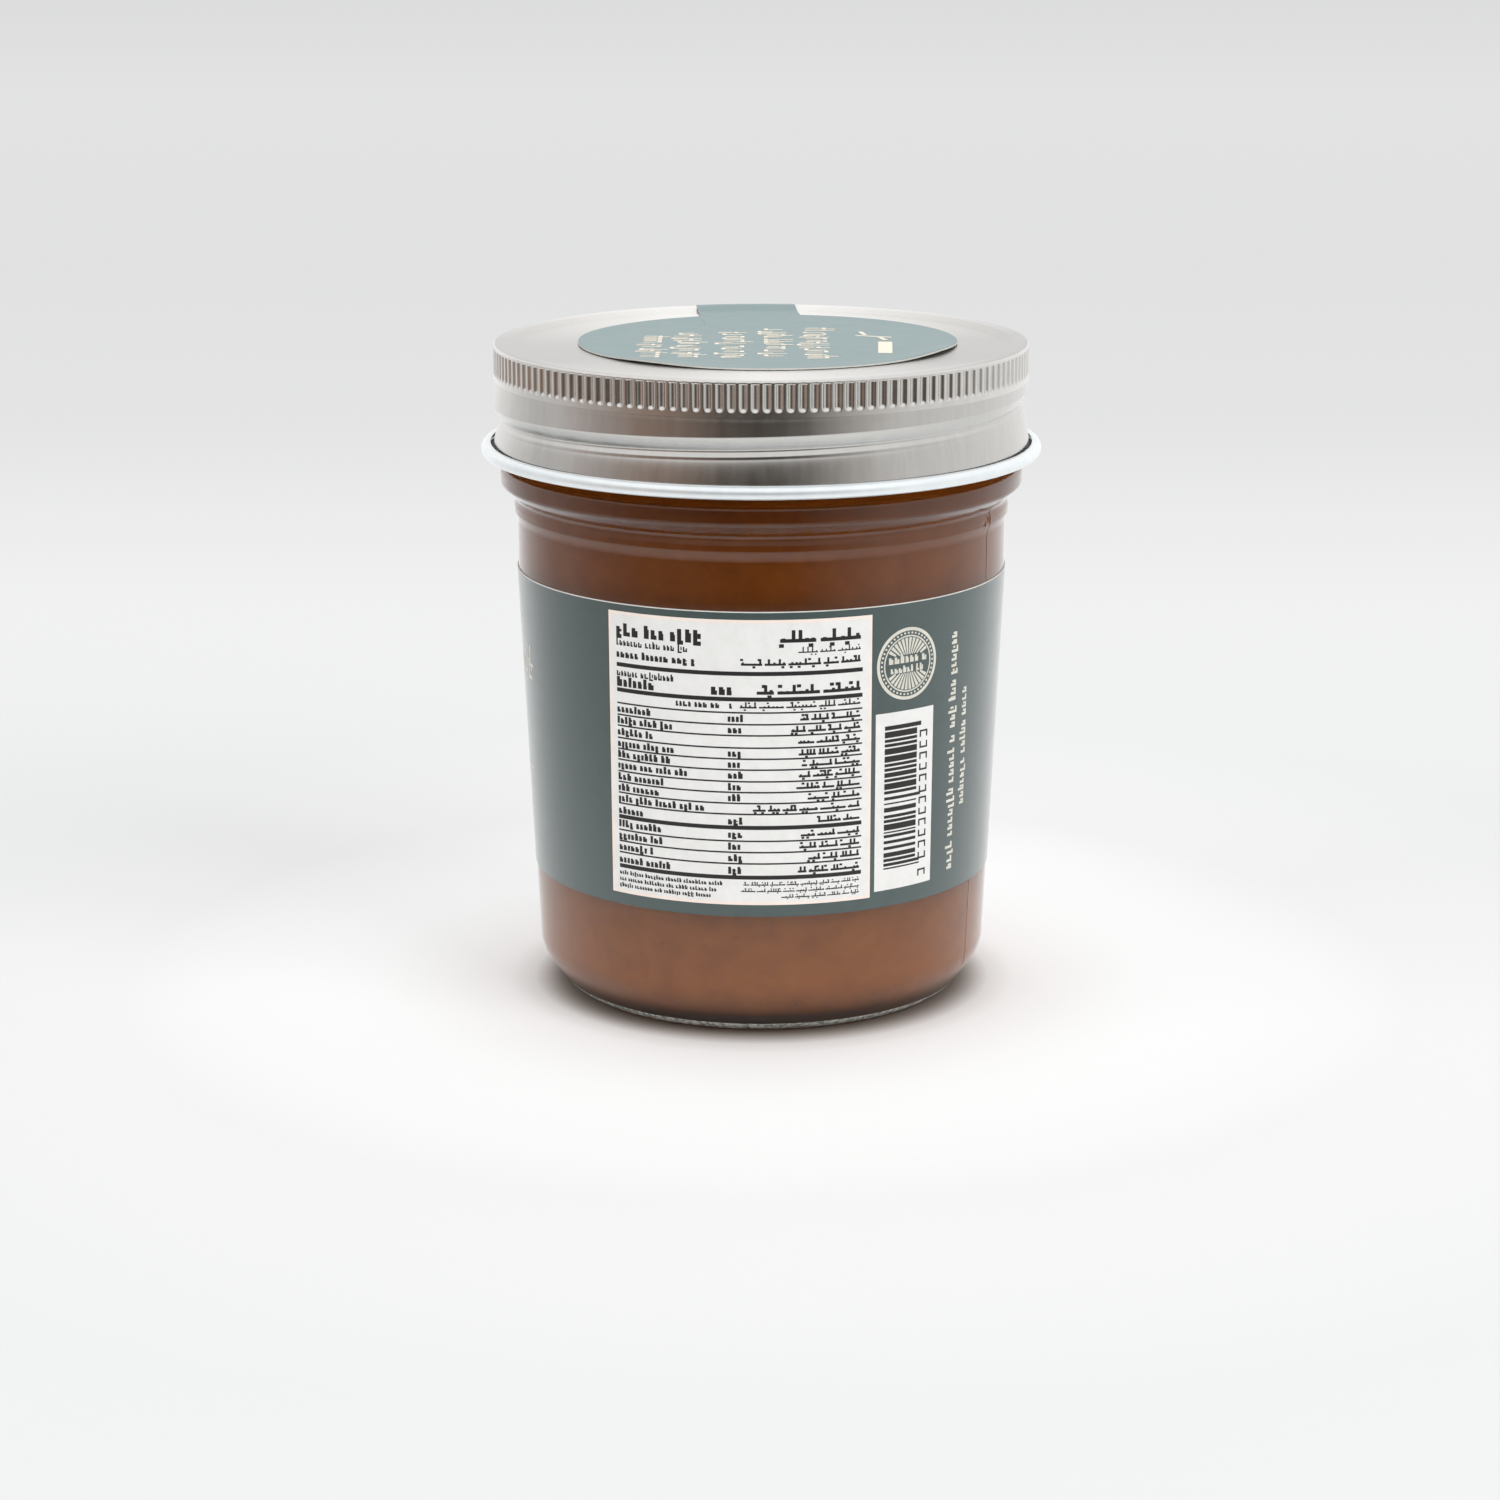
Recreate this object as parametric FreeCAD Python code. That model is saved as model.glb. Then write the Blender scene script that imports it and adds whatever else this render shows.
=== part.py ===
import FreeCAD, Part
import math
import os

# Jar of almond butter: a half-pint tapered glass jar with a pressed steel screw lid,
# a wrap-round paper label and a round paper seal whose strip runs over the back of the lid.
# Millimetres, +Z up, origin on the jar's axis at the bearing ring. The front of the label faces -Y.

V = FreeCAD.Vector

# glass, outside
FOOT_RADIUS = 26.9            # outer corner of the bearing ring
FOOT_INNER_RADIUS = 23.6      # where the push-up starts
PUSH_UP = 1.6                 # rise of the underside at the centre
HEEL_HEIGHT = 5.2             # corner between the slanting heel and the wall
HEEL_ROUND = 6.0
FOOT_ROUND = 4.0
WALL_BASE_RADIUS = 30.743     # the tapered wall's radius carried down to z = 0
WALL_TAPER = 0.0444           # growth of radius per millimetre of height
WALL_TOP = 59.8               # the wall turns upright here, just above the label
NECK_RADIUS = 33.43
RING_Z = 67.6                 # neck ring, on the mould's parting line
RING_RADIUS = 33.88
GROOVE_Z = 68.8               # shallow neck above the ring
GROOVE_RADIUS = 33.62
BEAD_RADIUS = 35.75           # transfer bead under the lid
BEAD_LOW_Z = 71.0
BEAD_TOP_Z = 73.8
FINISH_RADIUS = 33.1          # plain cylinder inside the lid
MOUTH_Z = 88.9

# glass, inside
WALL = 3.0
BASE_INSIDE_Z = 3.3
BASE_INSIDE_RISE = 1.4        # the inside follows the push-up
BASE_INSIDE_ROUND = 5.0
MOUTH_RADIUS = 30.5
BUTTER_Z = 78.6

# lid
SHEET = 0.4
PANEL_Z = 89.3
PANEL_EDGE_RADIUS = 33.4
RIM_INNER_RADIUS = 34.3
RIM_Z = 89.9
KNURL_RADIUS = 36.35
KNURL_LOW_Z = 85.6
KNURL_BACKING = 0.6           # sheet and inward bulges behind the flutes
FLUTES = 150
FLUTE_DEPTH = 0.34
FLUTE_HALF_WIDTH = 0.46
FLUTE_LOW_Z = 85.7
FLUTE_HIGH_Z = 89.05
FLUTE_END_SLOPE = 0.55
BAND_RADIUS = 36.2
BAND_Z = 85.0
FLARE_RADIUS = 36.62
FLARE_Z = 81.4
SKIRT_LOW_RADIUS = 36.58
SKIRT_LOW_Z = 76.9
CURL_CENTRE_RADIUS = 37.28
CURL_CENTRE_Z = 75.58
CURL_RADIUS = 0.92
CURL_END_ANGLE = 112.0        # where the rolled edge is tucked in beside the skirt

# rolled thread groove: one right-handed turn, running out at the back
THREAD_FRONT_Z = 80.65
THREAD_PITCH = 5.08
THREAD_HALF_TURN = 192.0
THREAD_RUN_OUT = 24.0
THREAD_DEPTH_RADIUS = 35.2
THREAD_UPPER_RISE = 1.9
THREAD_LOWER_REACH = 3.4
THREAD_STEP = 12.0

# paper
LABEL_LOW_Z = 17.65
LABEL_HIGH_Z = 59.32
LABEL_THICKNESS = 0.16
SEAL_RADIUS = 25.8
SEAL_CENTRE = (0.9, 1.5)
SEAL_THICKNESS = 0.15
STRIP_WIDTH = 14.2
STRIP_TURN = 5.5
STRIP_INNER_RADIUS = 21.0
STRIP_END_Z = 61.1


def closed_wire(corners):
    """Closed outline in the r-z plane from (r, z, fillet) corners, rounds as tangent arcs."""
    points = [V(r, 0, z) for r, z, fillet in corners]
    count = len(points)
    runs = []
    for i, (r, z, fillet) in enumerate(corners):
        here = points[i]
        if fillet <= 0:
            runs.append((here, None, here))
            continue
        back = (points[i - 1] - here).normalize()
        ahead = (points[(i + 1) % count] - here).normalize()
        half = back.getAngle(ahead) / 2
        reach = fillet / math.tan(half)
        middle = (back + ahead).normalize()
        centre = here + middle * (fillet / math.sin(half))
        runs.append((here + back * reach, centre - middle * fillet, here + ahead * reach))
    edges = []
    for i in range(count):
        start, mid, end = runs[i]
        if mid is not None:
            edges.append(Part.Arc(start, mid, end).toShape())
        following = runs[(i + 1) % count][0]
        if end.distanceToPoint(following) > 1e-6:
            edges.append(Part.makeLine(end, following))
    return Part.Wire(edges)


def turned(wire):
    """Solid of revolution about the jar's axis."""
    return Part.Face(wire).revolve(V(0, 0, 0), V(0, 0, 1), 360)


def wall_radius(z):
    return WALL_BASE_RADIUS + WALL_TAPER * z


def inner_corners():
    """Inner wall of the glass from the base centre up to the level of the butter."""
    return [
        (0, BASE_INSIDE_Z + BASE_INSIDE_RISE, 0),
        (wall_radius(BASE_INSIDE_Z) - WALL, BASE_INSIDE_Z, BASE_INSIDE_ROUND),
        (wall_radius(WALL_TOP) - WALL, WALL_TOP, 20.0),
    ]


def make_glass():
    outside = [
        (0, PUSH_UP, 0),
        (FOOT_INNER_RADIUS - 5.0, PUSH_UP - 0.25, 12.0),
        (FOOT_INNER_RADIUS, 0, 1.0),
        (FOOT_RADIUS, 0, FOOT_ROUND),
        (wall_radius(HEEL_HEIGHT), HEEL_HEIGHT, HEEL_ROUND),
        (wall_radius(WALL_TOP), WALL_TOP, 20.0),
        (NECK_RADIUS, RING_Z - 1.5, 2.0),
        (RING_RADIUS, RING_Z - 0.4, 0.5),
        (RING_RADIUS, RING_Z + 0.4, 0.5),
        (GROOVE_RADIUS, GROOVE_Z, 0.5),
        (GROOVE_RADIUS + 0.2, GROOVE_Z + 0.45, 0.3),
        (BEAD_RADIUS, BEAD_LOW_Z, 0.9),
        (BEAD_RADIUS, BEAD_TOP_Z - 0.4, 0.8),
        (FINISH_RADIUS, BEAD_TOP_Z, 0.5),
        (FINISH_RADIUS, MOUTH_Z, 1.0),
        (MOUTH_RADIUS, MOUTH_Z, 1.2),
        (MOUTH_RADIUS, BUTTER_Z, 0),
    ]
    return turned(closed_wire(outside + inner_corners()[::-1]))


def make_butter():
    return turned(closed_wire(inner_corners() + [(MOUTH_RADIUS, BUTTER_Z, 0), (0, BUTTER_Z, 0)]))


def lid_outside(grow):
    """Corners of the lid's outer face, moved out by grow, from the panel to the foot of the skirt."""
    return [
        (PANEL_EDGE_RADIUS, PANEL_Z + grow, 0.4),
        (RIM_INNER_RADIUS, RIM_Z + grow, 0.6),
        (KNURL_RADIUS + grow, RIM_Z + grow, 0.9),
        (KNURL_RADIUS + grow, KNURL_LOW_Z, 0.3),
        (BAND_RADIUS + grow, BAND_Z, 0.8),
        (FLARE_RADIUS + grow, FLARE_Z, 6.0),
    ]


def open_edges(corners):
    """Edges of an open run of corners with tangent arcs at the inner ones."""
    edges = []
    end = V(corners[0][0], 0, corners[0][1])
    for i in range(1, len(corners) - 1):
        r, z, fillet = corners[i]
        here = V(r, 0, z)
        back = (V(corners[i - 1][0], 0, corners[i - 1][1]) - here).normalize()
        ahead = (V(corners[i + 1][0], 0, corners[i + 1][1]) - here).normalize()
        half = back.getAngle(ahead) / 2
        reach = fillet / math.tan(half)
        middle = (back + ahead).normalize()
        crown = here + middle * (fillet / math.sin(half) - fillet)
        edges.append(Part.makeLine(end, here + back * reach))
        edges.append(Part.Arc(here + back * reach, crown, here + ahead * reach).toShape())
        end = here + ahead * reach
    edges.append(Part.makeLine(end, V(corners[-1][0], 0, corners[-1][1])))
    return edges


def make_lid_blank():
    """Pressed cup with its rim, flared skirt and the outward curl at the lower edge."""
    centre = V(CURL_CENTRE_RADIUS, 0, CURL_CENTRE_Z)

    def on_curl(radius, angle):
        a = math.radians(angle)
        return centre + V(radius * math.cos(a), 0, radius * math.sin(a))

    inner_curl = CURL_RADIUS - SHEET
    outer_path = [(0, PANEL_Z, 0)] + lid_outside(0) + [(SKIRT_LOW_RADIUS, SKIRT_LOW_Z, 1.5)]
    curl_start = on_curl(inner_curl, 180)
    outer_path.append((curl_start.x, curl_start.z, 0))
    back = SHEET
    knurl_back = KNURL_RADIUS - KNURL_BACKING
    curl_stop = on_curl(CURL_RADIUS, 180)
    inner_path = [
        (curl_stop.x, curl_stop.z, 0),
        (SKIRT_LOW_RADIUS - back, SKIRT_LOW_Z, 1.5),
        (FLARE_RADIUS - back, FLARE_Z, 6.0),
        (BAND_RADIUS - back, BAND_Z, 0.6),
        (knurl_back, KNURL_LOW_Z, 0.3),
        (knurl_back, RIM_Z - back, 0.5),
        (RIM_INNER_RADIUS + 0.2, RIM_Z - back, 0.4),
        (PANEL_EDGE_RADIUS + 0.1, MOUTH_Z, 0.3),
        (0, MOUTH_Z, 0),
    ]
    skirt_edges = open_edges(outer_path) + [
        Part.Arc(curl_start, on_curl(inner_curl, -34), on_curl(inner_curl, CURL_END_ANGLE)).toShape(),
        Part.makeLine(on_curl(inner_curl, CURL_END_ANGLE), on_curl(CURL_RADIUS, CURL_END_ANGLE)),
        Part.Arc(on_curl(CURL_RADIUS, CURL_END_ANGLE), on_curl(CURL_RADIUS, -34), curl_stop).toShape(),
    ] + open_edges(inner_path)
    skirt_edges.append(Part.makeLine(V(0, 0, MOUTH_Z), V(0, 0, PANEL_Z)))
    return turned(Part.Wire(skirt_edges))


def flute_cutter():
    """Hip-roofed wedge: a V flute whose two ends slope out to the surface."""
    mouth = KNURL_RADIUS + 0.12
    half = FLUTE_HALF_WIDTH * 1.3
    root = KNURL_RADIUS - FLUTE_DEPTH
    low = FLUTE_LOW_Z
    high = FLUTE_HIGH_Z
    a = V(mouth, -half, low)
    b = V(mouth, half, low)
    c = V(mouth, half, high)
    d = V(mouth, -half, high)
    e = V(root, 0, low + FLUTE_END_SLOPE)
    f = V(root, 0, high - FLUTE_END_SLOPE)
    loops = [(a, b, c, d), (a, e, b), (c, f, d), (b, e, f, c), (d, f, e, a)]
    faces = [Part.Face(Part.makePolygon(list(loop) + [loop[0]])) for loop in loops]
    return Part.makeSolid(Part.makeShell(faces))


def make_flutes():
    cutter = flute_cutter()
    copies = []
    for i in range(FLUTES):
        turn = cutter.copy()
        turn.rotate(V(0, 0, 0), V(0, 0, 1), 360.0 * i / FLUTES)
        copies.append(turn)
    return Part.makeCompound(copies)


def thread_section(angle, strength, inset):
    """One slice of the rolled groove. inset moves it in by the sheet's thickness."""
    z = THREAD_FRONT_Z + THREAD_PITCH * angle / 360.0
    surface = FLARE_RADIUS
    depth = (surface - THREAD_DEPTH_RADIUS) * strength
    rise = 0.7 + (THREAD_UPPER_RISE - 0.35) * strength
    low = max(z - 1.0 - (THREAD_LOWER_REACH - 1.0) * strength, SKIRT_LOW_Z + 0.1)
    mouth = surface + 0.25 - inset * 1.3
    points = [
        (mouth, z + rise + inset * 0.7),
        (surface - depth - inset, z + 0.3 + inset * 0.3),
        (surface - depth - inset, z - 0.25 - inset * 0.3),
        (surface - depth * 0.78 - inset, z - 0.7 - inset * 0.3),
        (mouth, low - inset * 0.5),
    ]
    a = math.radians(angle - 90.0)
    ring = [V(r * math.cos(a), r * math.sin(a), height) for r, height in points]
    return Part.makePolygon(ring + [ring[0]])


def thread_bodies(inset):
    """The groove as four lofts end to end, each a little over a quarter of a turn."""
    per_loft = int(round(2 * THREAD_HALF_TURN / THREAD_STEP / 4))
    bodies = []
    for quarter in range(4):
        sections = []
        for i in range(per_loft + 1):
            angle = -THREAD_HALF_TURN + (quarter * per_loft + i) * THREAD_STEP
            fade = min(1.0, (THREAD_HALF_TURN - abs(angle)) / THREAD_RUN_OUT)
            strength = 0.04 + 0.96 * (0.5 - 0.5 * math.cos(math.pi * fade))
            sections.append(thread_section(angle, strength, inset))
        bodies.append(Part.makeLoft(sections, True, False))
    return bodies


def make_lid():
    lid = make_lid_blank()
    for ridge in thread_bodies(SHEET):
        lid = lid.fuse(ridge)
    for groove in thread_bodies(0.0):
        lid = lid.cut(groove)
    return lid.cut(make_flutes())


def make_label():
    low = LABEL_LOW_Z
    high = LABEL_HIGH_Z
    ring = [
        (wall_radius(low), low, 0),
        (wall_radius(low) + LABEL_THICKNESS, low, 0),
        (wall_radius(high) + LABEL_THICKNESS, high, 0),
        (wall_radius(high), high, 0),
    ]
    return turned(closed_wire(ring))


def make_seal():
    """Round seal on the panel, with a strip that runs over the rim and down to the glass."""
    t = SEAL_THICKNESS
    curl_out = CURL_CENTRE_RADIUS + CURL_RADIUS
    strip_end = [
        (curl_out, CURL_CENTRE_Z + 0.5, 0.9),
        (curl_out, CURL_CENTRE_Z - 0.6, 0.9),
        (BEAD_RADIUS, BEAD_TOP_Z - 1.3, 1.0),
        (BEAD_RADIUS, BEAD_LOW_Z, 1.0),
        (RING_RADIUS + 0.02, RING_Z - 0.5, 1.0),
        (NECK_RADIUS + 0.02, RING_Z - 2.0, 1.0),
        (NECK_RADIUS + 0.02, STRIP_END_Z, 0),
    ]
    under = [(STRIP_INNER_RADIUS, PANEL_Z, 0)] + lid_outside(0) + strip_end
    over = [(STRIP_INNER_RADIUS, PANEL_Z + t, 0)] + lid_outside(t)
    over += [(r + t, z, fillet) for r, z, fillet in strip_end]
    skin = turned(closed_wire(under + over[::-1]))
    slab = Part.makeBox(STRIP_WIDTH, 45.0, 60.0, V(SEAL_CENTRE[0] - STRIP_WIDTH / 2, 15.0, 50.0))
    slab.rotate(V(SEAL_CENTRE[0], SEAL_CENTRE[1], 0), V(0, 0, 1), STRIP_TURN)
    strip = skin.common(slab)
    disc = Part.makeCylinder(SEAL_RADIUS, t, V(SEAL_CENTRE[0], SEAL_CENTRE[1], PANEL_Z))
    return disc.fuse(strip).removeSplitter()


def only_solid(shape):
    solids = shape.Solids
    if len(solids) != 1:
        raise ValueError("expected one solid, found %d" % len(solids))
    return solids[0]


os.makedirs("parts", exist_ok=True)
nodes = {
    "jar_glass": make_glass(),
    "almond_butter": make_butter(),
    "lid": make_lid(),
    "body_label": make_label(),
    "lid_seal": make_seal(),
}
for name, shape in nodes.items():
    solid = only_solid(shape)
    box = solid.BoundBox
    print(name, "valid", solid.isValid(), "cm3 %.2f" % (solid.Volume / 1000),
          "box %.2f %.2f %.2f" % (box.XLength, box.YLength, box.ZLength))
    solid.exportStep("parts/%s.step" % name)
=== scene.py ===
import bpy
import math
import numpy as np
from mathutils import Matrix, Vector


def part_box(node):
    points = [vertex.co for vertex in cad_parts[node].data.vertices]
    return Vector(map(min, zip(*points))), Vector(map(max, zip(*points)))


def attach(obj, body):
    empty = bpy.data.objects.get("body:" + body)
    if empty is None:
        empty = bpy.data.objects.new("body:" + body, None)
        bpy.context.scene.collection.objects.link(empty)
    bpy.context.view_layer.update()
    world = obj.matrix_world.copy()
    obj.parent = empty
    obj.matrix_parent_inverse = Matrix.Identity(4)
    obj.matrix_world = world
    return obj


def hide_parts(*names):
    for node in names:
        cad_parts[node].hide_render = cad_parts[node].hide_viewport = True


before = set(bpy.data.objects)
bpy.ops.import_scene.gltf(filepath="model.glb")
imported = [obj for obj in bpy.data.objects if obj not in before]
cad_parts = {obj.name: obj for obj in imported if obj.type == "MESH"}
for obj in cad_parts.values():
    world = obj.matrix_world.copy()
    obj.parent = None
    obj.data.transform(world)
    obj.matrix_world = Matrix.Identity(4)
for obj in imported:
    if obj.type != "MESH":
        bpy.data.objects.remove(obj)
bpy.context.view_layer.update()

rng = np.random.default_rng(11)

# Lengths are millimetres up to add_mesh(), which turns them into metres. Angles run from the jar's front,
# positive to the right. Lathe grids are (angles x profile points).
SHARP_EDGE = math.radians(48)


def box_mm(node):
    low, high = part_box(node)
    return Vector(low) * 1000.0, Vector(high) * 1000.0


GLASS_LO, GLASS_HI = box_mm("jar_glass")
BUTTER_HI = box_mm("almond_butter")[1]
LID_LO, LID_HI = box_mm("lid")
LABEL_LO, LABEL_HI = box_mm("body_label")
FOOT = GLASS_LO.z
MOUTH = GLASS_HI.z
RIM = LID_HI.z
HEM = LID_LO.z
# the curl is the widest part and stays just inside the solid's box
CURL_OUT = min(LID_HI.x, -LID_LO.y) - 0.002


# ---------------------------------------------------------------- meshes
def add_mesh(name, verts, faces, mats, index=None):
    """A smooth-shaded mesh from millimetres, with an optional material index for each face."""
    me = bpy.data.meshes.new(name)
    me.from_pydata((np.asarray(verts, float) / 1000.0).tolist(), [], faces)
    for m in mats:
        me.materials.append(m)
    if index is not None:
        me.polygons.foreach_set("material_index", index)
    me.polygons.foreach_set("use_smooth", [True] * len(me.polygons))
    me.update()
    me.set_sharp_from_angle(angle=SHARP_EDGE)
    ob = bpy.data.objects.new(name, me)
    bpy.context.scene.collection.objects.link(ob)
    return ob


def around(phi, r, z):
    """Point on the jar at angle phi from the front, positive to the right."""
    return np.stack([r * np.sin(phi), -r * np.cos(phi), z + 0 * phi], axis=-1)


def rounded(corners, per=9):
    """Points along an open run of (r, z, fillet) corners, each round in `per` steps."""
    pts = []
    last = len(corners) - 1
    for i, (r, z, f) in enumerate(corners):
        here = Vector((r, z))
        if f <= 0 or i in (0, last):
            pts.append(here)
            continue
        a, b = corners[i - 1], corners[i + 1]
        back = (Vector((a[0], a[1])) - here).normalized()
        ahead = (Vector((b[0], b[1])) - here).normalized()
        half = back.angle(ahead) / 2
        reach = f / math.tan(half)
        mid = (back + ahead).normalized()
        centre = here + mid * (f / math.sin(half))
        p0, p1 = here + back * reach - centre, here + ahead * reach - centre
        turn = p0.angle_signed(p1)
        for k in range(per + 1):
            t = -turn * k / per
            c, s = math.cos(t), math.sin(t)
            pts.append(centre + Vector((p0.x * c - p0.y * s, p0.x * s + p0.y * c)))
    return np.array([(p.x, p.y) for p in pts])


def grid_faces(n, m):
    """Faces of n profiles of m points each, closed round the turn."""
    I, J = np.meshgrid(np.arange(n), np.arange(m - 1), indexing="ij")
    I2 = (I + 1) % n
    q = np.stack([I * m + J, I2 * m + J, I2 * m + J + 1, I * m + J + 1], axis=-1)
    return q.reshape(-1, 4).tolist()


def lathe(name, R, Z, phis, mats, index=None):
    """A turned surface, whose radius and height may change with the angle."""
    V = around(phis[:, None], R, Z)
    return add_mesh(name, V.reshape(-1, 3), grid_faces(*R.shape), mats, index)


def spread(prof, phis):
    """The same profile at every angle, as the grids R and Z."""
    return np.repeat(prof[None, :, 0], len(phis), 0), np.repeat(prof[None, :, 1], len(phis), 0)


def full_turn(n):
    return np.linspace(-math.pi, math.pi, n, endpoint=False)


def smooth01(t):
    t = np.clip(t, 0, 1)
    return t * t * (3 - 2 * t)



# ---------------------------------------------------------------- materials
def lin(c):
    """Screen colour of 0 to 255 as linear RGBA."""
    parts = [v / 255 for v in c]
    return tuple(v / 12.92 if v <= 0.04045 else ((v + 0.055) / 1.055) ** 2.4 for v in parts) + (1.0,)


def mix_colours(nt, fac, a, b, mode="MIX"):
    n = nt.nodes.new("ShaderNodeMix")
    n.data_type, n.blend_type = "RGBA", mode
    factor = next(i for i in n.inputs if i.type == "VALUE")
    for sock, v in zip([factor] + [i for i in n.inputs if i.type == "RGBA"], (fac, a, b)):
        if isinstance(v, (tuple, float)):
            sock.default_value = v
        else:
            nt.links.new(v, sock)
    return next(o for o in n.outputs if o.type == "RGBA")


def colour_ramp(nt, fac, stops):
    r = nt.nodes.new("ShaderNodeValToRGB")
    el = r.color_ramp.elements
    while len(el) < len(stops):
        el.new(0.5)
    for e, (pos, col) in zip(el, stops):
        e.position = pos
        e.color = col
    nt.links.new(fac, r.inputs["Fac"])
    return r.outputs["Color"]


class Mat:
    """A small builder round one Principled material."""

    def __init__(self, name):
        self.m = bpy.data.materials.new(name)
        self.m.use_nodes = True
        self.nt = self.m.node_tree
        self.p = self.nt.nodes["Principled BSDF"]
        self.out = self.nt.nodes["Material Output"]
        self.tc = self.nt.nodes.new("ShaderNodeTexCoord")

    def set(self, **kw):
        for k, v in kw.items():
            self.p.inputs[k.replace("_", " ")].default_value = v
        return self

    def node(self, kind, **props):
        n = self.nt.nodes.new(kind)
        for k, v in props.items():
            setattr(n, k, v)
        return n

    def link(self, a, b):
        self.nt.links.new(a, b)

    def scaled(self, scale=(1, 1, 1), rot=(0, 0, 0)):
        mp = self.node("ShaderNodeMapping")
        mp.inputs["Scale"].default_value = scale
        mp.inputs["Rotation"].default_value = rot
        self.link(self.tc.outputs["Object"], mp.inputs["Vector"])
        return mp.outputs["Vector"]

    def noise(self, scale, detail=3.0, rough=0.55, vec=None):
        n = self.node("ShaderNodeTexNoise")
        n.inputs["Scale"].default_value = scale
        n.inputs["Detail"].default_value = detail
        n.inputs["Roughness"].default_value = rough
        self.link(vec if vec is not None else self.tc.outputs["Object"], n.inputs["Vector"])
        return n.outputs["Fac"]

    def ramp(self, fac, *stops):
        return colour_ramp(self.nt, fac, stops)

    def span(self, fac, a0, a1, b0, b1):
        n = self.node("ShaderNodeMapRange")
        for k, v in zip(("From Min", "From Max", "To Min", "To Max"), (a0, a1, b0, b1)):
            n.inputs[k].default_value = v
        self.link(fac, n.inputs["Value"])
        return n.outputs["Result"]

    def mix(self, fac, a, b, mode="MIX"):
        return mix_colours(self.nt, fac, a, b, mode)

    def colour(self, sock):
        self.link(sock, self.p.inputs["Base Color"])
        return self

    def bump(self, height, strength, distance):
        b = self.node("ShaderNodeBump")
        b.inputs["Strength"].default_value = strength
        b.inputs["Distance"].default_value = distance
        self.link(height, b.inputs["Height"])
        if self.p.inputs["Normal"].links:
            self.link(self.p.inputs["Normal"].links[0].from_socket, b.inputs["Normal"])
        self.link(b.outputs["Normal"], self.p.inputs["Normal"])
        return self


glass = Mat("glass_flint").set(Roughness=0.0, IOR=1.51)
glass.p.inputs["Transmission Weight"].default_value = 1.0
glass.p.inputs["Coat Weight"].default_value = 0.4
glass.colour(glass.ramp(glass.noise(30, 2), (0.3, (0.95, 0.97, 0.96, 1)), (0.7, (0.97, 0.985, 0.98, 1))))
glass.bump(glass.noise(70, 2, 0.4), 0.35, 0.0002)

# the heel's stippled bearing ring: frosted, and its pale colour is a painted highlight standing in for light
# that the heel's glass refracts
stipple_highlight = Mat("glass_stipple").set(Roughness=0.35, IOR=1.51)
stipple_highlight.p.inputs["Transmission Weight"].default_value = 0.1
sn = stipple_highlight.noise(1400, 3, 0.6)
stipple_highlight.colour(stipple_highlight.ramp(sn, (0.38, (0.20, 0.22, 0.20, 1)), (0.58, (0.74, 0.76, 0.73, 1))))
stipple_highlight.bump(sn, 0.5, 0.0001)

butter = Mat("ground_almonds").set(Roughness=0.5, IOR=1.05)
bn = butter.noise(260, 5, 0.65)
base = butter.ramp(bn, (0.25, lin((166, 92, 32))), (0.5, lin((180, 102, 37))), (0.8, lin((190, 112, 44))))
bsep = butter.node("ShaderNodeSeparateXYZ")
butter.link(butter.tc.outputs["Object"], bsep.inputs["Vector"])
# painted shade: the butter is darker towards the neck, 80 mm up, where the lid shades it
neck_shade = butter.ramp(
    butter.span(bsep.outputs["Z"], 0.0, 0.08, 0.0, 1.0),
    (0.0, (0.95, 0.96, 0.84, 1)), (0.3, (0.84, 0.85, 0.72, 1)), (0.55, (0.86, 0.84, 0.72, 1)),
    (0.8, (0.72, 0.66, 0.55, 1)), (0.92, (0.5, 0.42, 0.3, 1)))
base = butter.mix(1.0, base, neck_shade, "MULTIPLY")
flecks = butter.ramp(butter.noise(900, 2, 0.5), (0.68, (0, 0, 0, 1)), (0.74, (0.6, 0.6, 0.6, 1)))
butter.colour(butter.mix(flecks, base, lin((142, 78, 30))))
butter.bump(bn, 0.1, 0.0002)


def steel(name, along, rough_lo, rough_hi, pale=211):
    """Brushed tinplate: the scratches run along the axis with the lowest scale in `along`."""
    s = Mat(name).set(Metallic=1.0)
    lines = s.noise(1.0, 4, 0.6, s.scaled(along))
    low, high = (pale - 3, pale - 5, pale - 8), (pale + 4, pale + 3, pale)
    s.colour(s.ramp(lines, (0.3, lin(low)), (0.7, lin(high))))
    s.link(s.span(lines, 0.3, 0.7, rough_lo, rough_hi), s.p.inputs["Roughness"])
    s.bump(lines, 0.03, 0.00002)
    return s


steel_top = steel("tinplate_panel", (160, 9000, 900), 0.28, 0.4)
steel_side = steel("tinplate_side", (700, 700, 90), 0.17, 0.23)
steel_side.bump(steel_side.noise(110, 2, 0.4), 0.3, 0.0004)
# painted light: the knurl is the skirt's tinplate with a paler colour, which lightens its flutes
steel_knurl_painted_light = steel("tinplate_knurl", (500, 500, 500), 0.17, 0.23, 226)
# painted highlight: the panel's colour is brighter forwards and backwards than to the sides, standing in for
# its round polish's reflections
highlight_angle = steel_top.node("ShaderNodeTexGradient", gradient_type="RADIAL")
steel_top.link(steel_top.tc.outputs["Object"], highlight_angle.inputs["Vector"])
painted_highlight = steel_top.ramp(highlight_angle.outputs["Fac"], *[(p, (v, v, v, 1)) for p, v in (
    (0.0, 0.92), (0.08, 0.88), (0.2, 1.18), (0.25, 1.4), (0.3, 1.24), (0.42, 0.86), (0.52, 0.9), (0.64, 1.26),
    (0.72, 1.5), (0.82, 1.5), (0.93, 1.12), (1.0, 0.92))])
bare = steel_top.p.inputs["Base Color"].links[0].from_socket
steel_top.colour(steel_top.mix(1.0, bare, painted_highlight, "MULTIPLY"))

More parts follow.
